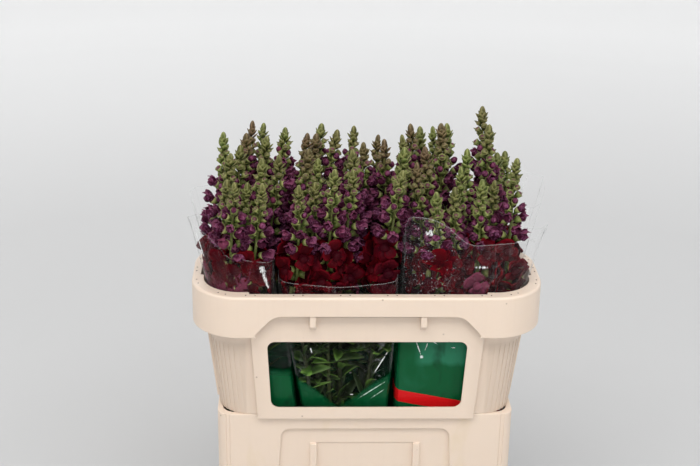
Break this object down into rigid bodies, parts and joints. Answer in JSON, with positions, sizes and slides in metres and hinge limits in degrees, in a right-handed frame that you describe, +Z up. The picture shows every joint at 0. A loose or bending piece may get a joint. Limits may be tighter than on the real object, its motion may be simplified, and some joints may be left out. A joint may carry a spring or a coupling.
{
  "type": "bucket of cut snapdragon stems",
  "caption": "Cut snapdragon spikes in clear film sleeves, standing in a tall oblong plastic water bucket with a windowed collar.",
  "frame": {"origin": "the middle of the bucket's flat underside, on the surface that it stands on", "axes": "+Z up; the long side of the bucket along X; -Y the front, where one of the collar's two windows is"},
  "size_m": [0.4647, 0.1817, 0.6723],
  "materials": {
    "moulded_plastic": "satin injection-moulded, cream beige, lightly scuffed and stained",
    "clear_film": "thin clear crinkled film with dense prints lower down",
    "water": "clear",
    "flower_spikes": "soft matt green stems, leaves and buds, velvety purple to crimson flowers"
  },
  "bodies": {
    "root": {"bucket": "moulded_plastic", "collar": "moulded_plastic", "sleeve_front_centre": "clear_film", "sleeve_front_left": "clear_film", "sleeve_front_right": "clear_film", "sleeve_rear_left": "clear_film", "sleeve_rear_right": "clear_film", "stem_front_centre_1": "flower_spikes", "stem_front_centre_2": "flower_spikes", "stem_front_centre_3": "flower_spikes", "stem_front_centre_4": "flower_spikes", "stem_front_centre_5": "flower_spikes", "stem_front_centre_6": "flower_spikes", "stem_front_centre_7": "flower_spikes", "stem_front_centre_8": "flower_spikes", "stem_front_centre_9": "flower_spikes", "stem_front_left_1": "flower_spikes", "stem_front_left_2": "flower_spikes", "stem_front_left_3": "flower_spikes", "stem_front_left_4": "flower_spikes", "stem_front_left_5": "flower_spikes", "stem_front_left_6": "flower_spikes", "stem_front_left_7": "flower_spikes", "stem_front_left_8": "flower_spikes", "stem_front_left_9": "flower_spikes", "stem_front_right_1": "flower_spikes", "stem_front_right_2": "flower_spikes", "stem_front_right_3": "flower_spikes", "stem_front_right_4": "flower_spikes", "stem_front_right_5": "flower_spikes", "stem_front_right_6": "flower_spikes", "stem_front_right_7": "flower_spikes", "stem_front_right_8": "flower_spikes", "stem_front_right_9": "flower_spikes", "stem_rear_left_1": "flower_spikes", "stem_rear_left_10": "flower_spikes", "stem_rear_left_11": "flower_spikes", "stem_rear_left_2": "flower_spikes", "stem_rear_left_3": "flower_spikes", "stem_rear_left_4": "flower_spikes", "stem_rear_left_5": "flower_spikes", "stem_rear_left_6": "flower_spikes", "stem_rear_left_7": "flower_spikes", "stem_rear_left_8": "flower_spikes", "stem_rear_left_9": "flower_spikes", "stem_rear_right_1": "flower_spikes", "stem_rear_right_10": "flower_spikes", "stem_rear_right_11": "flower_spikes", "stem_rear_right_12": "flower_spikes", "stem_rear_right_2": "flower_spikes", "stem_rear_right_3": "flower_spikes", "stem_rear_right_4": "flower_spikes", "stem_rear_right_5": "flower_spikes", "stem_rear_right_6": "flower_spikes", "stem_rear_right_7": "flower_spikes", "stem_rear_right_8": "flower_spikes", "stem_rear_right_9": "flower_spikes", "water": "water"}
  },
  "joints": []
}
